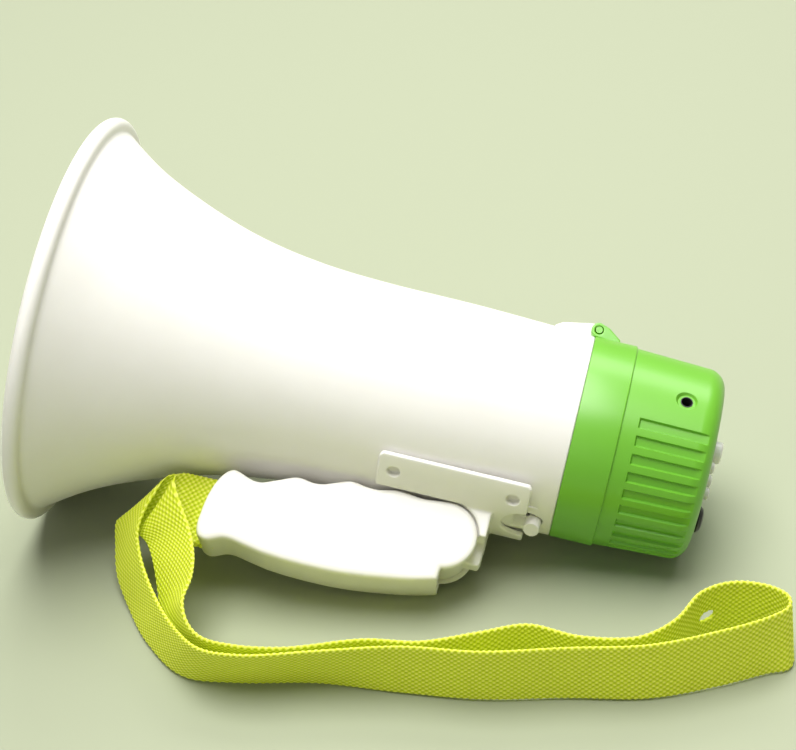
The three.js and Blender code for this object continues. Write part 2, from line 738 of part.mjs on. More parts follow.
function housingRing() {
  const ring = turned(
    [
      [RING_FRONT, RING_BORE],
      [RING_FRONT, RING_R - 0.4],
      [RING_FRONT + 0.4, RING_R],
      [RING_REAR - 0.4, RING_R],
      [RING_REAR, RING_R - 0.4],
      [RING_REAR, 34.6],
      [202, 34.6],
      [201, RING_BORE],
    ],
    48,
  );
  const { x, z, earR, knuckle, ears, boreR } = HINGE;
  const ear = new THREE.Shape();
  ear.moveTo(x, z - earR);
  ear.absarc(x, z, earR, -Math.PI / 2, Math.PI / 2, true);
  ear.quadraticCurveTo(x + 4, z + 2.6, x + 8.4, 36.4);
  ear.lineTo(x + 8.4, 34.9);
  const shoulders = join(slab(ear, -ears, -knuckle - GAP), slab(ear, knuckle + GAP, ears));
  const inside = turned(
    [
      [185, 0],
      [185, 37.6],
      [RING_FRONT - 0.01, 37.6],
      [RING_FRONT - 0.01, RING_BORE],
      [201, RING_BORE],
      [202, 34.6],
      [220, 34.6],
      [220, 0],
    ],
    48,
  );
  const knuckleRoom = rod('y', earR + 0.5, -knuckle - GAP, knuckle + GAP, [x, z], 20);
  const tab = roundTheHorn(
    join(
      block([189.2, -3, -33.2], [203, 3, -31.8]),
      block([189.2, -3, -33.2], [190.4, 3, -30.8]),
      block([201.2, -3, -36.2], [203, 3, -31.8]),
    ),
    LATCH.angle,
  );
  const pin = rod('y', boreR, -20, 20, [x, z]);
  return cut(join(ring, cut(shoulders, inside), tab), knuckleRoom, pin);
}

function rearCap() {
  const corner = arc([REAR - CAP_CORNER, CAP_REAR_R - CAP_CORNER], CAP_CORNER, 86, 0, 5);
  const shell = turned(
    [
      [RING_REAR - 4, 34.3],
      [RING_REAR + GAP, 34.3],
      [RING_REAR + GAP, CAP_R],
      ...corner,
      [REAR, 0],
      [REAR - WALL, 0],
      [REAR - WALL, CAP_REAR_R - 7.4],
      [REAR - CAP_CORNER + 2, CAP_REAR_R - 3],
      [RING_REAR + 4, CAP_R - 3.2],
      [RING_REAR - 4, 32.8],
      [RING_REAR - 4, 34.3],
    ],
    48,
  );
  const flutes = Array.from({ length: FLUTES }, (_, i) => {
    const angle = (i - (FLUTES - 1) / 2) * FLUTE_PITCH;
    const groove = new THREE.BoxGeometry(26, 3.5, 2).rotateY(-CAP_TAPER).translate(227.1, 0, -35.7);
    return roundTheHorn(solid(groove), angle);
  });
  const holes = [TALK, ...MODES, { ...VOLUME, r: 3.2 }].map(({ y, z, r }) =>
    rod('x', r + 0.35, REAR - 6, REAR + 4, [y, z], 20),
  );
  const micHoles = Array.from({ length: 7 }, (_, i) => {
    const reach = i === 0 ? 0 : 2.6;
    const angle = (i * Math.PI) / 3;
    const centre = [MIC.y + reach * Math.cos(angle), MIC.z + reach * Math.sin(angle)];
    return rod('x', 0.7, REAR - 6, REAR + 4, centre, 8);
  });
  const jackDish = jackPiece(new THREE.CylinderGeometry(JACK.dishR + 0.6, JACK.dishR - 1, 3, 24), 36.4);
  const jackHole = jackPiece(new THREE.CylinderGeometry(JACK.holeR, JACK.holeR, 12, 20), 33);
  return cut(shell, ...flutes, ...holes, ...micHoles, jackDish, jackHole);
}

/** Puts a piece drawn along +y on the power socket's own axis, at a radius from the horn's axis. */
function jackPiece(geometry, radius) {
  const matrix = new THREE.Matrix4().makeRotationX(Math.PI - JACK.angle);
  return solid(geometry.translate(0, radius, 0).applyMatrix4(matrix).translate(JACK.x, 0, 0));
}

function dcJack() {
  const barrel = jackPiece(new THREE.CylinderGeometry(3.6, 3.6, 6, 20), 29);
  const bore = jackPiece(new THREE.CylinderGeometry(2.1, 2.1, 8, 16), 31.6);
  const centre = jackPiece(new THREE.CylinderGeometry(0.55, 0.55, 5, 8), 29.2);
  return join(cut(barrel, bore), centre);
}

add('housing', 'housing_ring', housingRing(), MATERIAL.green);
add('housing', 'rear_cap', rearCap(), MATERIAL.green);
add('housing', 'dc_jack', dcJack(), MATERIAL.black);

// Contact plate that bridges the cells when the housing is shut
function contactPlate() {
  const [front, back] = [197.6, 199.2];
  const plate = turned([[front, 0], [front, 33.6], [back, 33.6], [back, 0]], 32);
  const strips = [-1, 1].map((side) =>
    block([194.2, side * CELL.offset - 3, -18], [front + 0.4, side * CELL.offset + 3, 18]),
  );
  const tabRoom = roundTheHorn(block([190, -4, -40], [210, 4, -29.6]), LATCH.angle);
  return cut(join(plate, ...strips), tabRoom);
}

add('housing', 'contact_plate', contactPlate(), MATERIAL.fibre);

// Amplifier board and what is soldered on it
const BOARD = { front: 227.3, back: 228.9, r: 25.6 };
const boardPosts = [90, 210, 330].map((deg) => {
  const angle = THREE.MathUtils.degToRad(deg);
  return [23.4 * Math.cos(angle), 23.4 * Math.sin(angle)];
});

add(
  'housing',
  'amplifier_board',
  cut(
    turned([[BOARD.front, 0], [BOARD.front, BOARD.r], [BOARD.back, BOARD.r], [BOARD.back, 0]], 32),
    ...boardPosts.map(([y, z]) => rod('x', 1.2, BOARD.front - 2, BOARD.back + 2, [y, z], 10)),
  ),
  MATERIAL.board,
);
boardPosts.forEach(([y, z], i) => {
  const screw = join(
    rod('x', 0.9, BOARD.front - 1, REAR - WALL - GAP, [y, z], 10),
    rod('x', 1.9, BOARD.front - 1.7, BOARD.front - GAP, [y, z], 12),
  );
  add('housing', `board_screw_${i + 1}`, screw, MATERIAL.steel);
});
[[-10, 8], [-10, -9]].forEach(([y, z], i) => {
  const can = rod('x', 4, BOARD.front - 12, BOARD.front - GAP, [y, z], 20);
  add('housing', `capacitor_${i + 1}`, can, MATERIAL.black);
});
add(
  'housing',
  'amplifier_heatsink',
  join(
    block([BOARD.front - 11, 4, -9], [BOARD.front - GAP, 5.6, 9]),
    ...[-8.2, -2.8, 2.6, 8].map((z) => (
      block([BOARD.front - 11, 5, z - 0.6], [BOARD.front - GAP, 12, z + 0.6])
    )),
  ),
  MATERIAL.steel,
);

const switches = { talk: TALK, mode_1: MODES[0], mode_2: MODES[1], mode_3: MODES[2] };
Object.entries(switches).forEach(([name, { y, z }]) => {
  const half = name === 'talk' ? 3 : 1.9;
  const body = block([BOARD.back + GAP, y - half, z - half], [BOARD.back + 3.6, y + half, z + half]);
  add('housing', `${name}_switch`, body, MATERIAL.black);
});

const potBody = rod('x', 5.4, BOARD.back + GAP, REAR - WALL - 1.4, [VOLUME.y, VOLUME.z], 20);
add('housing', 'volume_pot', potBody, MATERIAL.black);
const micBody = rod('x', MIC.r, REAR - WALL - 7, REAR - WALL - 1.2, [MIC.y, MIC.z], 24);
add('housing', 'mic_capsule', micBody, MATERIAL.steel);
const micFelt = rod('x', MIC.r, REAR - WALL - 0.9, REAR - WALL - GAP, [MIC.y, MIC.z], 24);
add('housing', 'mic_felt', micFelt, MATERIAL.black);

// ---------------------------------------------------------------- controls on the rear wall

/** A push button that stands out of the rear wall, with a flange behind it trimmed to its height. */
function pushButton({ y, z, r, proud }, travel) {
  const cap = turned(
    [
      [BOARD.back + 3.6 + travel + GAP, 0],
      [BOARD.back + 3.6 + travel + GAP, r + 0.1],
      [REAR - WALL - 1 - GAP, r + 0.1],
      [REAR - WALL - 1 - GAP, r + 0.9],
      [REAR - WALL - GAP, r + 0.9],
      [REAR - WALL - GAP, r],
      [REAR + proud - 0.5, r],
      [REAR + proud, r - 0.5],
      [REAR + proud, 0],
    ],
    20,
  );
  const height = block([200, -9, -r - 0.1], [REAR + 9, 9, r + 0.1]);
  return solid(geometryOf(cap.intersect(height)).translate(0, y, z));
}

const TALK_TRAVEL = 1.8;
const MODE_TRAVEL = 1;
add('controls', 'talk_button', pushButton(TALK, TALK_TRAVEL), MATERIAL.white);
MODES.forEach((mode, i) => {
  add('controls', `mode_button_${i + 1}`, pushButton(mode, MODE_TRAVEL), MATERIAL.white);
});

function volumeKnob() {
  const { y, z, r, proud } = VOLUME;
  const cap = turned(
    [
      [REAR - WALL - 0.8, 0],
      [REAR - WALL - 0.8, 3],
      [REAR + 0.4, 3],
      [REAR + 0.4, r],
      [REAR + proud - 1.6, r],
      [REAR + proud - 0.5, r - 1],
      [REAR + proud, r - 2.6],
      [REAR + proud, 0],
    ],
    28,
  );
  const mark = block([REAR + proud - 0.5, -0.5, 1], [REAR + proud + 1, 0.5, r + 1]);
  return solid(geometryOf(cut(cap, mark)).translate(0, y, z));
}

add('controls', 'volume_knob', volumeKnob(), MATERIAL.black);

// ---------------------------------------------------------------- lying on the table

/** The tip that lays the rim's bead and the rear cap's corner on one plane. */
function restingTilt() {
  const along = REAR - CAP_CORNER - BEAD_R;
  const drop = MOUTH_R - BEAD_R - (CAP_REAR_R - CAP_CORNER);
  return Math.atan2(drop, along) - Math.asin((CAP_CORNER - BEAD_R) / Math.hypot(along, drop));
}

/** The roll at which the first point of the handle meets the plane that the rim and the cap rest on. */
function restingRoll(tilt) {
  const plane = MOUTH_R - BEAD_R + BEAD_R / Math.cos(tilt) + BEAD_R * Math.tan(tilt);
  let roll = 0;
  groups.handle.traverse((mesh) => {
    if (!mesh.isMesh) return;
    const at = mesh.geometry.getAttribute('position');
    for (let i = 0; i < at.count; i += 1) {
      const [x, y, z] = [at.getX(i), at.getY(i), at.getZ(i)];
      const share = (x * Math.tan(tilt) - plane) / Math.hypot(y, z);
      if (Math.abs(share) > 1) continue;
      const bearing = (Math.atan2(y, z) + 2 * Math.PI) % (2 * Math.PI);
      roll = Math.max(roll, 2 * Math.PI - Math.acos(share) - bearing);
    }
  });
  return roll;
}

const tilt = restingTilt();
const roll = restingRoll(tilt);
const rolled = new THREE.Group();
rolled.add(megaphone);
megaphone.rotation.x = -roll;
rolled.rotation.y = tilt;
const lowest = new THREE.Box3().setFromObject(rolled, true).min.z;
rolled.position.z = -lowest;

// ---------------------------------------------------------------- wrist strap

/** The webbing as one closed band: a long box bent along the route. */
function wristStrap(stepsPerRow) {
  const edge = (k) =>
    new THREE.CatmullRomCurve3(
      STRAP_ROUTE.map((row) => new THREE.Vector3(...row.slice(3 * k, 3 * k + 3))),
      false,
      'centripetal',
    );
  const upper = edge(0);
  const lower = edge(1);
  const steps = stepsPerRow * (STRAP_ROUTE.length - 1);
  const band = new THREE.BoxGeometry(1, STRAP_THICK, 1, steps, 1, 1);
  const at = band.getAttribute('position');
  for (let i = 0; i < at.count; i += 1) {
    const t = at.getX(i) + 0.5;
    const top = upper.getPoint(t);
    const bottom = lower.getPoint(t);
    const across = top.clone().sub(bottom).normalize();
    const along = upper.getTangent(t).add(lower.getTangent(t));
    const normal = along.cross(across).normalize();
    const point = bottom.lerp(top, at.getZ(i) + 0.5).addScaledVector(normal, at.getY(i));
    at.setXYZ(i, point.x, point.y, point.z);
  }
  return solid(band);
}

const strap = new THREE.Mesh(geometryOf(wristStrap(3)), MATERIAL.strap);
strap.name = 'wrist_strap';

const object = new THREE.Group();
object.add(rolled, strap);
object.position.set(-CENTRE[0], -CENTRE[1], 0);

export default object;
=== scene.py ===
"""The looks of a foldable handheld megaphone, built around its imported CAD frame.

Moulded pieces are drawn in the megaphone's own upright frame, in millimetres: x runs along the horn from
its mouth to the rear, z points away from the handle, and -y is the side that faces up as it lies.
"""

import json
import math

import bmesh
import bpy
import numpy as np
from mathutils import Matrix, Vector


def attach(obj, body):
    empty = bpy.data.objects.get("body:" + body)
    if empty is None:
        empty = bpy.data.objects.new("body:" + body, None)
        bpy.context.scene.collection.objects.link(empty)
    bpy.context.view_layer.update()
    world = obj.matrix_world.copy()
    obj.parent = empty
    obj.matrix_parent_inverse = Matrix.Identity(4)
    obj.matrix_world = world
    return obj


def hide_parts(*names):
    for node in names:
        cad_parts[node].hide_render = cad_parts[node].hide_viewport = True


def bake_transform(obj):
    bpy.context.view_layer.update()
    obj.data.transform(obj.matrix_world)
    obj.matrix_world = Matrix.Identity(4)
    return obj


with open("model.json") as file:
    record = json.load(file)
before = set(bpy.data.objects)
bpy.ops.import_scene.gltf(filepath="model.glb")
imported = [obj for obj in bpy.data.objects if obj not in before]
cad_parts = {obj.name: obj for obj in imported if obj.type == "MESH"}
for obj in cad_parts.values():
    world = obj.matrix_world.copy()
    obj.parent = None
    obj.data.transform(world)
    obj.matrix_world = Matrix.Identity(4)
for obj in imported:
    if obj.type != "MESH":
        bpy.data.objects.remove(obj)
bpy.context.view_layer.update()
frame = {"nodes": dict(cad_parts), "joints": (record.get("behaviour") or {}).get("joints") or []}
JOINTS = {j["name"]: j for j in frame["joints"]}

# ---------------------------------------------------------------- dimensions, in millimetres

MOUTH_R = 76.5
BEAD_R = 3.0
LAND_R = 71.4
HORN_END = 192.2
HORN_END_R = 37.2
HORN_CURVE = [
    (6, 71.8),
    (22, 61.3),
    (42, 52.4),
    (64, 45.3),
    (88, 41.1),
    (114, 39.4),
    (150, 38.9),
    (HORN_END, HORN_END_R),
]
WALL = 2.2
SPIGOT_END = 196.4
SPIGOT_R = 35.4
LEDGE_X = 113.4
LEDGE_R = 32.6

RING_FRONT = 192.6
RING_REAR = 208.2
RING_R = 37.4
RING_BORE = 35.9
RING_REAR_BORE = 34.6
CAP_FRONT = 208.5
CAP_R = 36.6
CAP_REAR_R = 35.4
CAP_CORNER = 7.0
REAR = 242.1
FLUTES = 18
FLUTE_PITCH = math.radians(10.4)
FLUTE_HALF = 1.75
FLUTE_DEPTH = 1.1
FLUTE_FRONT = 214.1
FLUTE_MEAN_R = 36

HINGE_X = 193.1
HINGE_Z = 38.9
HINGE_BORE = 1.6
EAR_R = 2.9
KNUCKLE_R = 3.7
KNUCKLE = 6.5
EAR_END = 10.4

PIVOT_X = 155.6
PIVOT_Z = -50.9
CHEEK_R = 12.5
SEAM_HALF = 0.2
GRIP_END = 149
GRIP_FADE = 8
GRIP_ROUNDS = 45
SLOT_REAR = 171.6
SLOT_HALF = 14.3
SHOULDER_HALF = 14.2
LUG_REAR = 170.8
LUG_BOTTOM = -48.5

LATCH_X = 185.6
LATCH_R = 2.9
LATCH_TURN = math.radians(12)
LATCH_GAP = 0.4
BOSS_X = 182.8
BOSS_R = 8.7
DISH_SPREAD = 3.2

JACK_X = 228.7
JACK_TURN = math.radians(90 + 19.4)
JACK_DISH = 3.9
JACK_HOLE = 2.15

SCREW_XS = (133.6, 177.0)
SCREW_TURN = math.radians(32)
PLUG_R = 3.0
DIMPLE_R = 2.4
DIMPLE_FLOOR = 39.2
SADDLE_R = 41.6
SADDLE_ENDS = (127.6, 183.0)
SADDLE_TURN = math.radians(42.5)
CORNER_R = 2.6

# Controls on the rear wall: y and z, and the radius of each button
TALK = (-5.0, 4.9, 4.0)
MODES = [(-7.0, z, 2.2) for z in (-1.9, -6.9, -11.8)]
VOLUME_AT = (-5.5, -21.3)
SHAFT_HOLE_R = 3.4
MIC = (0.0, 17.5)
MIC_PITCH = 2.6
MIC_HOLE_R = 0.7

# The webbing's route on the table, in millimetres before the object is centred. Each row is one straight
# line across the webbing, from its upper edge to its lower edge: x, y, z, x, y, z.
ROUTE_CENTRE = (131.6, -19.5, 0)
STRAP_ROUTE = [
    (70, -42.9, 35.1, 68.1, -58, 24.4),
    (61.6, -42.7, 36.7, 59.7, -58.2, 25.8),
    (55.5, -45, 41, 52, -62.5, 29.5),
    (52.5, -49.5, 44.5, 43, -61, 26),
    (54.5, -56, 44.5, 39.5, -59, 25.5),
    (58.5, -62, 42, 40, -60, 25),
    (63, -69.5, 38, 44, -63, 24),
    (67, -79, 34.5, 48.5, -70.5, 20.5),
    (68, -86.5, 31, 52, -78.5, 14),
    (67, -95, 27.5, 56, -87.5, 6.5),
    (70, -102, 24.5, 62, -94, 2.5),
    (76.5, -108, 23.5, 71, -98.5, 0.8),
    (88, -110.5, 23.5, 84.5, -101, 0.8),
    (106, -109, 23.5, 103, -99.5, 0.8),
    (132, -101.5, 24.5, 129.5, -95, 0.8),
    (151.5, -100, 25, 151, -96.5, 0.8),
    (170.5, -92.5, 25.5, 171, -92, 0.8),
    (186, -86, 25.5, 186, -85, 0.8),
    (204.5, -89, 25.5, 205, -87.5, 0.8),
    (224, -86, 25.5, 224.5, -85, 0.8),
    (235, -75.5, 25.5, 235.5, -75, 0.8),
    (243, -59, 25.5, 243, -59, 0.8),
    (253, -52.5, 25.5, 253, -52, 0.8),
    (265, -52.5, 25.5, 266, -52.5, 0.8),
    (272, -56.5, 25.5, 274.5, -59, 0.8),
    (272.5, -61.5, 25, 274.5, -66.5, 0.8),
    (266, -69, 25.5, 267.5, -70, 0.8),
    (249, -79.5, 25.5, 250.5, -79.5, 0.8),
    (228, -89.5, 25.5, 228.5, -89, 0.8),
    (200.5, -95.5, 25.5, 200.5, -93.5, 0.8),
    (172.5, -102, 25.5, 171.5, -99, 0.8),
    (145.5, -103.5, 25, 143.5, -100, 0.8),
    (118.5, -108.5, 23.5, 115, -100, 0.8),
    (92, -114.5, 23, 87, -104.5, 0.8),
    (77.5, -112.5, 22, 67.5, -104.5, 0.8),
    (63.5, -99.5, 20, 50.5, -90.5, 0.8),
    (51, -82.5, 21.5, 38, -73.5, 1.2),
    (43.5, -70, 25.5, 30.5, -61.5, 6.5),
    (41.5, -63, 31, 28, -53, 13),
    (45, -55, 39, 28.5, -50, 21.5),
    (49, -47, 42.5, 36, -53.5, 24),
    (55.5, -43, 38, 50, -58, 23),
    (61, -40.4, 33.4, 59.1, -55.9, 22.6),
    (69.4, -40.6, 31.9, 67.5, -55.7, 21.2),
]

STRAP_WIDTH = 25.0
STRAP_HALF_THICK = 0.62
WEAVE_ALONG = 1.2
WEAVE_ACROSS = 1.08
WEAVE_HEIGHT = 0.3
SELVEDGE = 0.7
LOWEST = 0.05
STRAP_STEP = 0.26
ROUTE_STEPS = 16
HOLE_RADII = (3.5, 2.2)
HOLE_AT = (244.8, -57.8, 12.7)

# ---------------------------------------------------------------- camera

AZIMUTH = math.radians(12.89)
ELEVATION = math.radians(34.85)
CAMERA_ROLL = math.radians(-2.374)
CAMERA_AT = (0.13953, -0.61959, 0.51937)


def make_camera():
    right = Vector((math.cos(AZIMUTH), math.sin(AZIMUTH), 0))
    forward = Vector(
        (
            -math.sin(AZIMUTH) * math.cos(ELEVATION),
            math.cos(AZIMUTH) * math.cos(ELEVATION),
            -math.sin(ELEVATION),
        )
    )
    up = right.cross(forward)
    c, s = math.cos(CAMERA_ROLL), math.sin(CAMERA_ROLL)
    across, upward = right * c + up * s, up * c - right * s
    data = bpy.data.cameras.new("camera")
    data.lens = 98.55
    data.sensor_width = 36
    data.sensor_fit = "HORIZONTAL"
    camera = bpy.data.objects.new("camera", data)
    camera.matrix_world = Matrix.LocRotScale(
        Vector(CAMERA_AT), Matrix((across, upward, -forward)).transposed().to_quaternion(), None
    )
    bpy.context.scene.collection.objects.link(camera)
    bpy.context.scene.camera = camera


make_camera()

# ---------------------------------------------------------------- the megaphone's own frame


def drawing_to_row():
    """Millimetres in the megaphone's upright frame to metres in the row frame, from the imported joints."""
    fold = JOINTS["handle_fold"]
    x = -Vector(JOINTS["talk_press"]["axis"]).normalized()
    y = -Vector(fold["axis"]).normalized()
    z = x.cross(y).normalized()
    origin = Vector(fold["pos_m"]) - x * PIVOT_X / 1000 - z * PIVOT_Z / 1000
    turn = Matrix((x, y, z)).transposed().to_4x4()
    return Matrix.Translation(origin) @ turn @ Matrix.Scale(0.001, 4)


TO_ROW = drawing_to_row()
TO_DRAWING = TO_ROW.inverted()

# ---------------------------------------------------------------- mesh helpers

WELD = 1e-5


def smoothstep(t):
    return t * t * (3 - 2 * t)


def crease(bm, degrees):
    """Keeps the edges that turn by more than this crisp, and no others."""
    limit = math.radians(degrees)
    for edge in bm.edges:
        edge.smooth = not (len(edge.link_faces) == 2 and edge.calc_face_angle(0) > limit)


def new_object(name, bm, sharp=40):
    """A smooth-shaded object from a bmesh, with the edges over `sharp` degrees kept crisp."""
    bmesh.ops.recalc_face_normals(bm, faces=bm.faces)
    for face in bm.faces:
        face.smooth = True
    crease(bm, sharp)
    mesh = bpy.data.meshes.new(name)
    bm.to_mesh(mesh)
    bm.free()
    obj = bpy.data.objects.new(name, mesh)
    bpy.context.scene.collection.objects.link(obj)
    return obj


def grid_bmesh(points, wrap_rows=False):
    """A bmesh of quads over an array of points. Each row closes on itself, and so can the last row."""
    rows, columns = points.shape[:2]
    bm = bmesh.new()
    verts = [bm.verts.new(p) for p in points.reshape(-1, 3)]
    for i in range(rows if wrap_rows else rows - 1):
        low, high = i * columns, ((i + 1) % rows) * columns
        for j in range(columns):
            k = (j + 1) % columns
            bm.faces.new((verts[low + j], verts[low + k], verts[high + k], verts[high + j]))
    return bm


def lathe_points(profile, turns):
    """Rows of (x, r) swept round the x axis. A turn of 0 points down, and grows towards -y."""
    profile = np.asarray(profile, float)
    x = np.repeat(profile[:, :1], len(turns), 1)
    y = -profile[:, 1:] * np.sin(turns)
    z = -profile[:, 1:] * np.cos(turns)
    return np.stack([x, y, z], -1)


def lathe(name, profile, segments=256):
    """A closed profile of (x, r) turned about the x axis."""
    turns = np.linspace(0, 2 * math.pi, segments, endpoint=False)
    bm = grid_bmesh(lathe_points(profile, turns), wrap_rows=True)
    bmesh.ops.remove_doubles(bm, verts=bm.verts, dist=WELD)
    return new_object(name, bm, sharp=30)


def arc(centre, radius, start, end, steps):
    """Points along an arc, from one angle to another in degrees."""
    angles = np.radians(np.linspace(start, end, steps + 1))
    return [(centre[0] + radius * math.cos(a), centre[1] + radius * math.sin(a)) for a in angles]


def rod(name, axis, radius, start, end, centre=(0, 0), radius_end=None, segments=64):
    """A cylinder or cone along x, y or z between two coordinates on that axis."""
    bm = bmesh.new()
    bmesh.ops.create_cone(
        bm,
        cap_ends=True,
        segments=segments,
        radius1=radius,
        radius2=radius if radius_end is None else radius_end,
        depth=end - start,
    )
    middle, (a, b) = (start + end) / 2, centre
    turn = {
        "x": Matrix.Rotation(math.pi / 2, 4, "Y"),
        "y": Matrix.Rotation(-math.pi / 2, 4, "X"),
        "z": Matrix.Identity(4),
    }[axis]
    place = {"x": (middle, a, b), "y": (a, middle, b), "z": (a, b, middle)}[axis]
    bm.transform(Matrix.Translation(place) @ turn)
    return new_object(name, bm)


def extruded(name, outline, start, end):
    """An outline in x and z, extruded along y."""
    bm = bmesh.new()
    near = [bm.verts.new((x, start, z)) for x, z in outline]
    far = [bm.verts.new((x, end, z)) for x, z in outline]
    bm.faces.new(near)
    bm.faces.new(far[::-1])
    for i in range(len(outline)):
        k = (i + 1) % len(outline)
        bm.faces.new((near[i], near[k], far[k], far[i]))
    return new_object(name, bm)


def keep_crisp(obj, degrees=35):
    bm = bmesh.new()
    bm.from_mesh(obj.data)
    crease(bm, degrees)
    bm.to_mesh(obj.data)
    bm.free()


def cad_copy(name, *nodes):
    """A copy of CAD nodes' meshes in the drawing frame, welded."""
    bm = bmesh.new()
    for node in nodes:
        bm.from_mesh(frame["nodes"][node].data)
    bmesh.ops.remove_doubles(bm, verts=bm.verts, dist=2e-6)
    bm.transform(TO_DRAWING)
    return new_object(name, bm)


def applied(obj):
    """Turns an object's modifiers into its mesh."""
    bpy.context.view_layer.update()
    shaped = obj.evaluated_get(bpy.context.evaluated_depsgraph_get())
    mesh = bpy.data.meshes.new_from_object(shaped)
    obj.modifiers.clear()
    obj.data = mesh
    return obj


def combine(obj, others, operation):
    """Cuts, joins or intersects obj with others, which are used up."""
    for other in others:
        modifier = obj.modifiers.new("boolean", "BOOLEAN")
        modifier.operation = operation
        modifier.solver = "EXACT"
        modifier.object = other
    applied(obj)
    for other in others:
        bpy.data.objects.remove(other)


def gather(obj, *others):
    """Puts other objects' faces into obj, for a remesh to make one skin of them."""
    bm = bmesh.new()
    for source in (obj, *others):
        bm.from_mesh(source.data)
    bm.to_mesh(obj.data)
    bm.free()
    for other in others:
        bpy.data.objects.remove(other)


def softened(obj, voxel, rounds):
    """Rounds an object's edges off: one even skin, then smoothed."""
    remesh = obj.modifiers.new("remesh", "REMESH")
    remesh.mode = "VOXEL"
    remesh.voxel_size = voxel
    remesh.use_smooth_shade = True
    smooth = obj.modifiers.new("smooth", "SMOOTH")
    smooth.factor = 0.5
    smooth.iterations = rounds
    return applied(obj)


def turned_round(obj, angle):
    """Turns a piece drawn at the bottom of the horn round its axis, towards -y."""
    obj.data.transform(Matrix.Rotation(-angle, 4, "X"))
    return obj


def piece(obj, body, material, slot, *replaced):
    """Puts a drawn piece in the row frame, on its CAD body, with its material."""
    obj.data.transform(TO_ROW)
    obj.data.materials.clear()
    obj.data.materials.append(material)
    for face in obj.data.polygons:
        face.use_smooth = True
    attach(obj, body)
    if replaced:
        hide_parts(*replaced)


# ---------------------------------------------------------------- materials

CLOUD_SCALE = 75.0
GRAIN_SCALE = 900.0
YARN_SCALE = 2500.0


def plastic(name, colour, shade, roughness, coat=0.0, subsurface=0.0, metallic=0.0):
    """A moulded finish: two close tones in a fine cloud, and a faint unevenness."""
    material = bpy.data.materials.new(name)
    material.use_nodes = True
    nodes, links = material.node_tree.nodes, material.node_tree.links
    shader = nodes["Principled BSDF"]
    shader.inputs["Roughness"].default_value = roughness
    shader.inputs["Metallic"].default_value = metallic
    if coat:
        shader.inputs["Coat Weight"].default_value = coat
        shader.inputs["Coat Roughness"].default_value = 0.25
    if subsurface:
        shader.inputs["Subsurface Weight"].default_value = subsurface
        shader.inputs["Subsurface Radius"].default_value = (1.0, 0.9, 0.7)
        shader.inputs["Subsurface Scale"].default_value = 0.003
    where = nodes.new("ShaderNodeTexCoord")
    noise = nodes.new("ShaderNodeTexNoise")
    noise.inputs["Scale"].default_value = CLOUD_SCALE
    noise.inputs["Detail"].default_value = 3
    ramp = nodes.new("ShaderNodeValToRGB")
    ramp.color_ramp.elements[0].position = 0.3
    ramp.color_ramp.elements[0].color = (*shade, 1)
    ramp.color_ramp.elements[1].position = 0.7
    ramp.color_ramp.elements[1].color = (*colour, 1)
    fine = nodes.new("ShaderNodeTexNoise")
    fine.inputs["Scale"].default_value = GRAIN_SCALE
    bump = nodes.new("ShaderNodeBump")
    bump.inputs["Strength"].default_value = 0.04
    bump.inputs["Distance"].default_value = 0.0002
    links.new(where.outputs["Object"], noise.inputs["Vector"])
    links.new(where.outputs["Object"], fine.inputs["Vector"])
    links.new(noise.outputs["Fac"], ramp.inputs["Fac"])
    links.new(ramp.outputs["Color"], shader.inputs["Base Color"])
    links.new(fine.outputs["Fac"], bump.inputs["Height"])
    links.new(bump.outputs["Normal"], shader.inputs["Normal"])
    return material


WHITE = plastic("white_plastic", (0.87, 0.85, 0.80), (0.855, 0.835, 0.78), 0.32, subsurface=0.08)
GREEN = plastic("green_plastic", (0.155, 0.46, 0.028), (0.15, 0.445, 0.026), 0.38, coat=0.2)
BLACK = plastic("black_plastic", (0.012, 0.012, 0.012), (0.02, 0.02, 0.02), 0.35)
STEEL = plastic("steel", (0.55, 0.55, 0.55), (0.45, 0.45, 0.46), 0.3, metallic=1.0)
MAGNET = plastic("magnet_iron", (0.2, 0.2, 0.21), (0.14, 0.14, 0.15), 0.5, metallic=1.0)
BOARD = plastic("circuit_board", (0.02, 0.14, 0.05), (0.015, 0.11, 0.04), 0.4)
FIBRE = plastic("fibre_board", (0.28, 0.16, 0.07), (0.22, 0.12, 0.05), 0.8)
DIAPHRAGM = plastic("diaphragm", (0.5, 0.36, 0.14), (0.42, 0.3, 0.12), 0.5)
CELL = plastic("cell_jacket", (0.03, 0.09, 0.26), (0.025, 0.075, 0.22), 0.35)
MATERIALS = {
    "white_plastic": WHITE,
    "green_plastic": GREEN,
    "black_plastic": BLACK,
    "steel": STEEL,
    "magnet_iron": MAGNET,
    "circuit_board": BOARD,
    "fibre_board": FIBRE,
    "diaphragm": DIAPHRAGM,
    "cell_jacket": CELL,
}


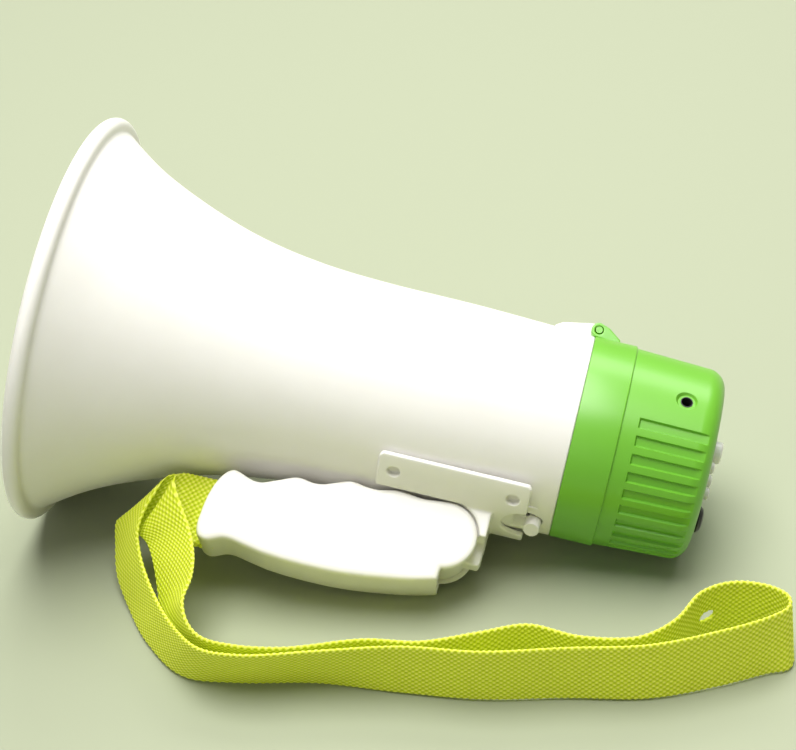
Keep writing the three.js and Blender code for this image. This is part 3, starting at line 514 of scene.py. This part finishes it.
def webbing():
    """Woven yarn: its colour follows the weave's own height, which each point carries, as painted shade
    where the yarn dips and painted highlight where it rises.
    """
    material = bpy.data.materials.new("webbing")
    material.use_nodes = True
    nodes, links = material.node_tree.nodes, material.node_tree.links
    shader = nodes["Principled BSDF"]
    shader.inputs["Roughness"].default_value = 0.55
    shader.inputs["Specular IOR Level"].default_value = 0.25
    # A faint painted glow in the yarn's own yellow-green, though the webbing is no lamp.
    shader.inputs["Emission Color"].default_value = (0.7, 0.85, 0.03, 1)
    shader.inputs["Emission Strength"].default_value = 0.1
    height = nodes.new("ShaderNodeAttribute")
    height.attribute_name = "yarn_height_and_shade"
    ramp = nodes.new("ShaderNodeValToRGB")
    ramp.color_ramp.elements.new(0.55)
    # Painted light: the ramp runs from painted shade in the weave's hollows to a paler painted highlight on
    # its crowns and loops.
    yarn_shade_to_highlight = ((0.38, 0.46, 0.005), (0.59, 0.66, 0.025), (0.80, 0.82, 0.17))
    for element, colour in zip(ramp.color_ramp.elements, yarn_shade_to_highlight):
        element.color = (*colour, 1)
    where = nodes.new("ShaderNodeTexCoord")
    noise = nodes.new("ShaderNodeTexNoise")
    noise.inputs["Scale"].default_value = YARN_SCALE
    bump = nodes.new("ShaderNodeBump")
    bump.inputs["Strength"].default_value = 0.25
    bump.inputs["Distance"].default_value = 0.0002
    links.new(height.outputs["Fac"], ramp.inputs["Fac"])
    links.new(ramp.outputs["Color"], shader.inputs["Base Color"])
    links.new(where.outputs["Object"], noise.inputs["Vector"])
    links.new(noise.outputs["Fac"], bump.inputs["Height"])
    links.new(bump.outputs["Normal"], shader.inputs["Normal"])
    return material


# ---------------------------------------------------------------- wrist strap


def centripetal(points, per_span):
    """A smooth curve through points, at even steps of each span."""
    points = np.asarray(points, float)
    ends = (2 * points[0] - points[1], 2 * points[-1] - points[-2])
    p = np.vstack([ends[0], points, ends[1]])
    step = np.linalg.norm(np.diff(p, axis=0), axis=1) ** 0.5
    t = np.linspace(0, 1, per_span, endpoint=False)[:, None]
    out = []
    for i in range(len(points) - 1):
        a, b, c, d = p[i : i + 4]
        u, v, w = step[i : i + 3]
        m = ((b - a) / u - (c - a) / (u + v) + (c - b) / v) * v
        n = ((c - b) / v - (d - b) / (v + w) + (d - c) / w) * v
        out.append(b + m * t + (3 * (c - b) - 2 * m - n) * t**2 + (2 * (b - c) + m + n) * t**3)
    return np.vstack([*out, points[-1:]])


def even_steps(lower, upper, step):
    """Both edges of the webbing again, at even steps along its middle, and its length."""
    middle = (lower + upper) / 2
    run = np.concatenate([[0], np.cumsum(np.linalg.norm(np.diff(middle, axis=0), axis=1))])
    at = np.linspace(0, run[-1], int(run[-1] / step) + 1)
    edges = [np.stack([np.interp(at, run, e[:, k]) for k in range(3)], 1) for e in (lower, upper)]
    return edges[0], edges[1], at, run[-1]


def punch(bm, inside, centre, across, normal):
    """An oval hole through both faces with a wall, where the listed vertices are."""
    edges = {edge for vert in inside for face in vert.link_faces for edge in face.edges}
    bmesh.ops.delete(bm, geom=inside, context="VERTS")
    rim = [edge for edge in edges if edge.is_valid and edge.is_boundary]
    centre, across, normal = Vector(centre), Vector(across), Vector(normal)
    tangent = across.cross(normal)
    for vert in {vert for edge in rim for vert in edge.verts}:
        offset = vert.co - centre
        long, short = HOLE_RADII
        flat = Vector((offset.dot(tangent) / long, offset.dot(across) / short)).normalized()
        vert.co = centre + offset.dot(normal) * normal
        vert.co += (flat.x * long * tangent + flat.y * short * across) / 1000
    bmesh.ops.bridge_loops(bm, edges=rim)


def weave_pattern(along, place, side, edge):
    """Height of the yarn from 0 to 1 over both faces, and of the loops along both selvedges. The same
    height sets the webbing's painted shade and highlight.
    """
    u, v = along[:, None], (place * STRAP_WIDTH / 2)[None, :]
    wave = np.cos(math.pi * u / WEAVE_ALONG) * np.cos(math.pi * v / WEAVE_ACROSS) * side
    yarn_height_and_shade = smoothstep(0.5 + 0.5 * wave)
    loops = 0.5 + 0.5 * np.cos(math.pi * u / WEAVE_ALONG * 1.2 + (place > 0)[None, :] * 1.3)
    return yarn_height_and_shade * (1 - edge**2) + (0.55 + 0.45 * loops) * edge**2, loops


def webbing_path():
    """Both edges of the webbing at even steps, how far along each step is, and the whole length."""
    rows = np.array(STRAP_ROUTE, float)
    upper = centripetal(rows[:, :3], ROUTE_STEPS) - ROUTE_CENTRE
    lower = centripetal(rows[:, 3:], ROUTE_STEPS) - ROUTE_CENTRE
    return even_steps(lower, upper, STRAP_STEP)


def webbing_frame(lower, upper):
    """At each step, the webbing's middle and the directions across it and out of its face."""
    middle = (lower + upper) / 2
    tangent = np.gradient(middle, axis=0)
    across = upper - lower
    across /= np.linalg.norm(across, axis=1)[:, None]
    normal = np.cross(tangent, across)
    normal /= np.linalg.norm(normal, axis=1)[:, None]
    return middle, across, normal


def webbing_skin(along, middle, across, normal):
    """Points of the woven surface, the yarn's height at each, and each column's place across."""
    half = STRAP_WIDTH / 2
    count = int(STRAP_WIDTH / STRAP_STEP)
    front = np.linspace(-1, 1, count + 1)
    place = np.concatenate([front, front[::-1][1:-1]])
    side = np.concatenate([np.ones(count + 1), -np.ones(count - 1)])
    edge = np.clip((np.abs(place) * half - (half - SELVEDGE)) / SELVEDGE, 0, 1)
    thick = STRAP_HALF_THICK * np.sqrt(1 - edge**2)
    yarn_height_and_shade, loops = weave_pattern(along, place, side, edge)
    out = place[None, :] * (half - 0.2) + np.sign(place)[None, :] * 0.35 * loops * edge**2
    lift = side * (thick - WEAVE_HEIGHT / 2 + WEAVE_HEIGHT * yarn_height_and_shade * (1 - edge**2))
    points = middle[:, None, :] + out[..., None] * across[:, None, :]
    points += lift[..., None] * normal[:, None, :]
    points[..., 2] = np.maximum(points[..., 2], LOWEST)
    return points, yarn_height_and_shade, place


def make_strap():
    lower, upper, along, length = webbing_path()
    middle, across, normal = webbing_frame(lower, upper)
    points, yarn_height_and_shade, place = webbing_skin(along, middle, across, normal)
    bm = grid_bmesh(points / 1000)
    bm.verts.ensure_lookup_table()
    columns = len(place)
    for row in (0, len(along) - 1):
        bm.faces.new([bm.verts[row * columns + k] for k in range(columns)])
    # The yarn's height goes to the material, which paints shade and highlight from it.
    shade = bm.verts.layers.float.new("yarn_height_and_shade")
    for vert, value in zip(bm.verts, yarn_height_and_shade.ravel()):
        vert[shade] = value
    hole = np.subtract(HOLE_AT, ROUTE_CENTRE)
    at = int(np.argmin(np.linalg.norm(middle - hole, axis=1)))
    lengthwise = (along[:, None] - along[at]) / HOLE_RADII[0]
    crosswise = (place * STRAP_WIDTH / 2)[None, :] / HOLE_RADII[1]
    inside = [bm.verts[k] for k in np.flatnonzero((np.hypot(lengthwise, crosswise) < 1).ravel())]
    punch(bm, inside, middle[at] / 1000, across[at], normal[at])
    mesh = bpy.data.meshes.new("strap_webbing")
    bmesh.ops.recalc_face_normals(bm, faces=bm.faces)
    for face in bm.faces:
        face.smooth = True
    bm.to_mesh(mesh)
    bm.free()
    strap = bpy.data.objects.new("strap_webbing", mesh)
    bpy.context.scene.collection.objects.link(strap)
    mesh.materials.append(webbing())
    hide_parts("wrist_strap")
    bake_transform(strap)


make_strap()

# ---------------------------------------------------------------- horn


def spline_points(points, per_span):
    """A uniform Catmull-Rom curve through (x, r) points."""
    p = np.array([points[0], *points, points[-1]], float)
    t = np.linspace(0, 1, per_span, endpoint=False)[:, None]
    out = []
    for i in range(len(points) - 1):
        a, b, c, d = p[i : i + 4]
        m, n = (c - a) / 2, (d - b) / 2
        out.append(b + m * t + (3 * (c - b) - 2 * m - n) * t**2 + (2 * (b - c) + m + n) * t**3)
    return np.vstack([*out, p[-1:]])


def horn_profile():
    outside = spline_points(HORN_CURVE, 12)
    along = np.gradient(outside, axis=0)
    along /= np.linalg.norm(along, axis=1)[:, None]
    inside = outside + WALL * np.stack([along[:, 1], -along[:, 0]], 1)
    inside = inside[(inside[:, 0] > 3.5) & (inside[:, 0] < LEDGE_X - 1)]
    return [
        (0.3, LAND_R + 0.1),
        (0, LAND_R + 0.5),
        *arc((BEAD_R, MOUTH_R - BEAD_R), BEAD_R, 180, 0, 18),
        (2 * BEAD_R, 72.6),
        (2 * BEAD_R + 0.1, 72.0),
        *outside[1:-1],
        (HORN_END - 0.3, HORN_END_R),
        (HORN_END, HORN_END_R - 0.3),
        (HORN_END, SPIGOT_R),
        (SPIGOT_END - 0.3, SPIGOT_R),
        (SPIGOT_END, SPIGOT_R - 0.3),
        (SPIGOT_END, SPIGOT_R - 1.5),
        (HORN_END - 4, SPIGOT_R - 1.5),
        (LEDGE_X + 40, 36.2),
        (LEDGE_X + 4, 36.4),
        (LEDGE_X + 3, LEDGE_R),
        (LEDGE_X, LEDGE_R),
        (LEDGE_X, 36.9),
        *inside[::-1],
    ]


def latch_dish(wider=0.0):
    """The cone and the bore round the latch button, as cutters."""
    floor_r = LATCH_R + LATCH_GAP + wider
    cone = rod("dish", "z", floor_r + DISH_SPREAD, -39, -35.4, (BOSS_X, 0), radius_end=floor_r)
    return cone, rod("bore", "z", floor_r, -44, -30, (LATCH_X, 0))


def horn_shell():
    horn = lathe("horn_shell", horn_profile(), segments=288)
    cutters = [turned_round(cutter, LATCH_TURN) for cutter in latch_dish(0.15)]
    combine(horn, cutters, "DIFFERENCE")
    keep_crisp(horn)
    piece(horn, "horn", WHITE, "white_plastic", "horn_bell")


def latch_boss():
    """The dished lip on the button's front side. It runs out into the horn under the button."""
    lip = rod("latch_boss", "z", BOSS_R, -42, -34.6, (BOSS_X, 0))
    combine(lip, [rod("round", "x", 42.6, 160, 189, radius_end=37.1, segments=256)], "INTERSECT")
    combine(lip, latch_dish(), "DIFFERENCE")
    softened(lip, 0.2, 10)
    piece(turned_round(lip, LATCH_TURN), "horn", WHITE, "white_plastic")


def latch_coil():
    """The button's spring, copied from its CAD node in steel."""
    coil = cad_copy("latch_coil", "latch_spring")
    coil.data.transform(TO_ROW)
    coil.data.materials.clear()
    coil.data.materials.append(STEEL)
    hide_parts("latch_spring")
    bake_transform(coil)


def hinge_ramp():
    outline = arc((HINGE_X, HINGE_Z), KNUCKLE_R, 90, -90, 16)
    outline += [(176.5, 36.4), (177.0, 38.6), (179.5, 40.2), (HINGE_X - 4, HINGE_Z + KNUCKLE_R - 0.4)]
    ramp = extruded("hinge_knuckle", outline, -KNUCKLE, KNUCKLE)
    bore = rod("bore", "y", HINGE_BORE, -20, 20, (HINGE_X, HINGE_Z))
    room = rod("room", "x", RING_R + 0.5, HORN_END, 210, segments=128)
    combine(ramp, [bore, room], "DIFFERENCE")
    softened(ramp, 0.22, 10)
    piece(ramp, "horn", WHITE, "white_plastic")


horn_shell()
latch_boss()
latch_coil()
hinge_ramp()

# ---------------------------------------------------------------- saddle bracket


def snap_round(obj, radius, within):
    """Takes the flats off a round face about the x axis, after cutting it finely enough."""
    bm = bmesh.new()
    bm.from_mesh(obj.data)
    long_edges = [e for e in bm.edges if e.calc_length() > 2.5]
    bmesh.ops.subdivide_edges(bm, edges=long_edges, cuts=6, use_grid_fill=False)
    bmesh.ops.triangulate(bm, faces=bm.faces)
    for vert in bm.verts:
        r = math.hypot(vert.co.y, vert.co.z)
        if abs(r - radius) < within:
            vert.co.y *= radius / r
            vert.co.z *= radius / r
    bm.to_mesh(obj.data)
    bm.free()


def saddle_corners():
    """What is cut from the saddle's four corners to round them."""
    cutters = []
    reach = CORNER_R + 1.5
    for x, way in zip(SADDLE_ENDS, (-1, 1)):
        for side in (-1, 1):
            outline = [*arc((0, 0), CORNER_R, 0, 90, 10), (0, reach), (reach, reach), (reach, 0)]
            outline = [(x + way * (a - CORNER_R), side * b) for a, b in outline]
            cutter = extruded("corner", outline, -44, -38)
            turn = side * (SADDLE_TURN - CORNER_R / SADDLE_R) - math.pi / 2
            cutters.append(turned_round(cutter, turn))
    return cutters


def slot_sides():
    """Fillings that narrow the saddle's slot round the grip, and the lug's two shoulders."""
    fillings = []
    front, inner = SADDLE_ENDS[0] + 0.1, SADDLE_R - 2
    for side in (-1, 1):
        section = [(front, inner), (SLOT_REAR, inner), (SLOT_REAR, SADDLE_R), (front, SADDLE_R)]
        strip = lathe("strip", section)
        keep = [(120, -30), (175, -30), (175, -45), (120, -45)]
        combine(strip, [extruded("keep", keep, side * SLOT_HALF, side * 15.2)], "INTERSECT")
        block = [(157, -36), (LUG_REAR, -36), (LUG_REAR, LUG_BOTTOM), (157, LUG_BOTTOM)]
        shoulder = extruded("shoulder", block, side * 8, side * SHOULDER_HALF)
        cheek = rod("disc", "y", CHEEK_R + 0.5, -20, 20, (PIVOT_X, PIVOT_Z))
        combine(shoulder, [cheek], "DIFFERENCE")
        fillings += [strip, shoulder]
    return fillings


def at_screws(name, radius, start, end):
    """A radial rod at each of the saddle's four screws."""
    return [
        turned_round(rod(name, "z", radius, start, end, (x, 0)), side * SCREW_TURN)
        for x in SCREW_XS
        for side in (-1, 1)
    ]


def bracket():
    """The saddle with its lug. Its screws are covered, and each shows as a round dimple."""
    saddle = cad_copy("saddle_skin", "saddle_bracket")
    snap_round(saddle, SADDLE_R, 0.2)
    plugs = at_screws("plug", PLUG_R, -41.5, -38.8)
    gather(saddle, *plugs, *slot_sides())
    softened(saddle, 0.28, 22)
    dimples = at_screws("dimple", DIMPLE_R, -43, -DIMPLE_FLOOR)
    combine(saddle, [*dimples, *saddle_corners()], "DIFFERENCE")
    softened(saddle, 0.28, 6)
    names = ["bracket_screw_%d" % (k + 1) for k in range(4)]
    piece(saddle, "horn", WHITE, "white_plastic", "saddle_bracket", *names)


bracket()

# ---------------------------------------------------------------- handle


def handle():
    """Both shells as one skin, closed over their parting line. The grip is rounder than its cheeks."""
    grip = cad_copy("handle_grip", "handle_near_shell", "handle_far_shell")
    for vert in grip.data.vertices:
        if abs(vert.co.y) < SEAM_HALF:
            vert.co.y *= -0.5
    softened(grip, 0.4, 6)
    group = grip.vertex_groups.new(name="grip")
    for vert in grip.data.vertices:
        weight = min(1, max(0, (GRIP_END - vert.co.x) / GRIP_FADE))
        if weight > 0:
            group.add([vert.index], weight, "REPLACE")
    rounder = grip.modifiers.new("rounder", "SMOOTH")
    rounder.iterations = GRIP_ROUNDS
    rounder.vertex_group = "grip"
    applied(grip)
    grip.vertex_groups.clear()
    piece(grip, "handle", WHITE, "white_plastic", "handle_near_shell", "handle_far_shell")


handle()

# ---------------------------------------------------------------- rear housing


def ring():
    profile = [
        (RING_FRONT - 0.25, RING_BORE),
        (RING_FRONT - 0.25, RING_R - 0.25),
        *arc((RING_FRONT, RING_R - 0.25), 0.25, 180, 90, 5),
        (200, RING_R),
        *arc((RING_REAR - 0.6, RING_R - 0.6), 0.6, 90, 0, 6),
        (RING_REAR, RING_REAR_BORE),
        (202, RING_REAR_BORE),
        (201, RING_BORE),
    ]
    piece(lathe("ring_skin", profile), "rear_housing", GREEN, "green_plastic", "housing_ring")
    ear = arc((HINGE_X, HINGE_Z), EAR_R, -90, -270, 20)
    ear += [(HINGE_X + 3.6, HINGE_Z + 1.6), (HINGE_X + 8.4, 36.8), (HINGE_X + 8.4, 35.2)]
    pair = [
        extruded("ears", ear, -EAR_END, -KNUCKLE - 0.3),
        extruded("ear", ear, KNUCKLE + 0.3, EAR_END),
    ]
    gather(*pair)
    combine(pair[0], [rod("bore", "y", HINGE_BORE, -20, 20, (HINGE_X, HINGE_Z))], "DIFFERENCE")
    softened(pair[0], 0.18, 8)
    pair[0].name = "hinge_ears"
    piece(pair[0], "rear_housing", GREEN, "green_plastic")


def cap_radius(x):
    """Radius of the cap's outside at x, along its tapered side and round its rear corner."""
    corner_x, corner_r = REAR - CAP_CORNER, CAP_REAR_R - CAP_CORNER
    side = CAP_R + (CAP_REAR_R - CAP_R) * (x - CAP_FRONT) / (corner_x - CAP_FRONT)
    turn = np.sqrt(np.clip(CAP_CORNER**2 - (x - corner_x) ** 2, 0, None)) + corner_r
    return np.where(x > corner_x, turn, side)


def cap_grid():
    """Where the cap's skin is sampled: along x, and round it. It is finest at the flutes and the jack."""
    fine = np.linspace(-FLUTES * FLUTE_PITCH / 2, FLUTES * FLUTE_PITCH / 2, 560)
    near_jack = np.linspace(JACK_TURN - 0.16, JACK_TURN + 0.16, 90)
    rest = np.linspace(fine[-1] + 0.03, 2 * math.pi + fine[0] - 0.03, 110)
    turns = np.unique(np.round(np.concatenate([fine, near_jack, rest]), 5))
    x = np.concatenate(
        [
            np.linspace(CAP_FRONT - 0.6, FLUTE_FRONT - 0.6, 8),
            np.linspace(FLUTE_FRONT - 0.5, FLUTE_FRONT + 0.7, 10),
            np.linspace(FLUTE_FRONT + 1, REAR - CAP_CORNER, 34),
            REAR - CAP_CORNER + CAP_CORNER * np.sin(np.radians(np.linspace(3, 90, 40))),
        ]
    )
    return x, turns


def flute_depth(x, turns, radius):
    """How far the skin is pressed in at each x and turn."""
    offset = (turns + FLUTES * FLUTE_PITCH / 2) % (2 * math.pi)
    inside = offset < FLUTES * FLUTE_PITCH
    from_middle = np.abs((offset % FLUTE_PITCH) - FLUTE_PITCH / 2) * FLUTE_MEAN_R
    dip = smoothstep(np.clip((FLUTE_HALF + 0.25 - from_middle) / 0.5, 0, 1)) * inside
    run = smoothstep(np.clip((x - FLUTE_FRONT + 0.3) / 0.6, 0, 1))
    slope = (CAP_REAR_R - CAP_R) / (REAR - CAP_CORNER - CAP_FRONT)
    floor = CAP_R - FLUTE_DEPTH + slope * (x - CAP_FRONT)
    return np.clip(radius - floor, 0, None)[:, None] * dip[None, :] * run[:, None]


def cap():
    """The cap, with its flutes pressed into one finely cut skin."""
    x, turns = cap_grid()
    radius = cap_radius(x)
    radius[-1] = CAP_REAR_R - CAP_CORNER
    r = radius[:, None] - flute_depth(x, turns, radius)
    skin = np.stack([np.repeat(x[:, None], len(turns), 1), -r * np.sin(turns), -r * np.cos(turns)], -1)
    lap, neck = CAP_FRONT - 4, CAP_FRONT - 1
    front = lathe_points([(lap, 32.8), (lap, 34.3), (neck, 34.3), (neck, CAP_R - 0.3)], turns)
    inside = [(REAR - WALL, 0), (REAR - WALL, 28), (REAR - 5, 32.2), (212, 33.2)]
    back = lathe_points([(REAR, 14), (REAR, 0), *inside], turns)
    bm = grid_bmesh(np.concatenate([front, skin, back]), wrap_rows=True)
    bmesh.ops.remove_doubles(bm, verts=bm.verts, dist=WELD)
    shell = new_object("cap_skin", bm, sharp=50)
    holes = [rod("hole", "x", r + 0.35, REAR - 6, REAR + 4, (y, z)) for y, z, r in (TALK, *MODES)]
    holes.append(rod("hole", "x", SHAFT_HOLE_R, REAR - 6, REAR + 4, VOLUME_AT))
    for k in range(7):
        reach, angle = (0 if k == 0 else MIC_PITCH), k * math.pi / 3
        at = (MIC[0] + reach * math.cos(angle), MIC[1] + reach * math.sin(angle))
        holes.append(rod("hole", "x", MIC_HOLE_R, REAR - 6, REAR + 4, at, segments=24))
    dish = rod("dish", "z", JACK_DISH + 0.8, -36.7, -34.7, (JACK_X, 0), radius_end=JACK_DISH - 0.8)
    bore = rod("bore", "z", JACK_HOLE, -39, -27, (JACK_X, 0))
    holes += [turned_round(dish, JACK_TURN), turned_round(bore, JACK_TURN)]
    combine(shell, holes, "DIFFERENCE")
    piece(shell, "rear_housing", GREEN, "green_plastic", "rear_cap")
    keep_crisp(shell)


def jack_sleeve():
    """The socket's black lining, up to the floor of its dish."""
    section = [(-34.9, 2.2), (-31.5, 2.2), (-31.5, 1.75), (-34.6, 1.75), (-34.9, 1.9)]
    sleeve = lathe("jack_sleeve", section, segments=64)
    sleeve.data.transform(Matrix.Translation((JACK_X, 0, 0)) @ Matrix.Rotation(-math.pi / 2, 4, "Y"))
    piece(turned_round(sleeve, JACK_TURN), "rear_housing", BLACK, "black_plastic")


ring()
cap()
jack_sleeve()

# ---------------------------------------------------------------- buttons, knob and latch

for node, body in (
    ("latch_button", "latch"),
    ("talk_button", "talk"),
    ("mode_button_1", "mode_1"),
    ("mode_button_2", "mode_2"),
    ("mode_button_3", "mode_3"),
):
    piece(softened(cad_copy(node + "_skin", node), 0.14, 5), body, WHITE, "white_plastic", node)
knob = softened(cad_copy("knob_skin", "volume_knob"), 0.14, 5)
piece(knob, "volume", BLACK, "black_plastic", "volume_knob")

# ---------------------------------------------------------------- carried-over nodes

SLOT_OF = {
    "throat_tube": "white_plastic",
    "reflector_cup": "white_plastic",
    "driver_plate": "white_plastic",
    "driver_frame": "black_plastic",
    "driver_diaphragm": "diaphragm",
    "driver_magnet": "magnet_iron",
    "battery_cradle": "black_plastic",
    "front_contact_board": "fibre_board",
    "dc_jack": "black_plastic",
    "contact_plate": "fibre_board",
    "amplifier_board": "circuit_board",
    "volume_pot": "black_plastic",
    "mic_felt": "black_plastic",
    "hinge_pin": "green_plastic",
}
PATTERNS = (
    ("battery_cell", "cell_jacket"),
    ("capacitor", "black_plastic"),
    ("_switch", "black_plastic"),
)

for name, node in frame["nodes"].items():
    if node.hide_render:
        continue
    found = SLOT_OF.get(name) or next((s for part, s in PATTERNS if part in name), "steel")
    node.data.materials.clear()
    node.data.materials.append(MATERIALS[found])

# ---------------------------------------------------------------- floor and light


def make_stage():
    bm = bmesh.new()
    bmesh.ops.create_grid(bm, x_segments=1, y_segments=1, size=6)
    floor = new_object("floor", bm)
    material = bpy.data.materials.new("floor")
    material.use_nodes = True
    shader = material.node_tree.nodes["Principled BSDF"]
    shader.inputs["Base Color"].default_value = (0.37, 0.40, 0.28, 1)
    shader.inputs["Roughness"].default_value = 0.9
    shader.inputs["Specular IOR Level"].default_value = 0.1
    floor.data.materials.append(material)
    world = bpy.data.worlds.new("studio")
    world.use_nodes = True
    background = world.node_tree.nodes["Background"]
    background.inputs["Color"].default_value = (1.0, 1.0, 0.94, 1)
    background.inputs["Strength"].default_value = 0.24
    bpy.context.scene.world = world


def area_light(name, size, watts, at):
    """A white panel that faces the middle of the megaphone."""
    data = bpy.data.lights.new(name, "AREA")
    data.shape = "RECTANGLE"
    data.size, data.size_y = size
    data.energy = watts
    light = bpy.data.objects.new(name, data)
    light.location = at
    light.rotation_euler = (Vector((0, 0, 0.05)) - Vector(at)).to_track_quat("-Z", "Y").to_euler()
    bpy.context.scene.collection.objects.link(light)


make_stage()
area_light("overhead", (1.3, 0.9), 34, (-0.1, -0.02, 1.5))
area_light("back", (1.4, 0.6), 14, (0.1, 1.1, 1.2))
area_light("front_fill", (1.6, 0.9), 3, (-0.4, -1.7, 1.0))
bpy.context.scene.view_settings.view_transform = "Standard"
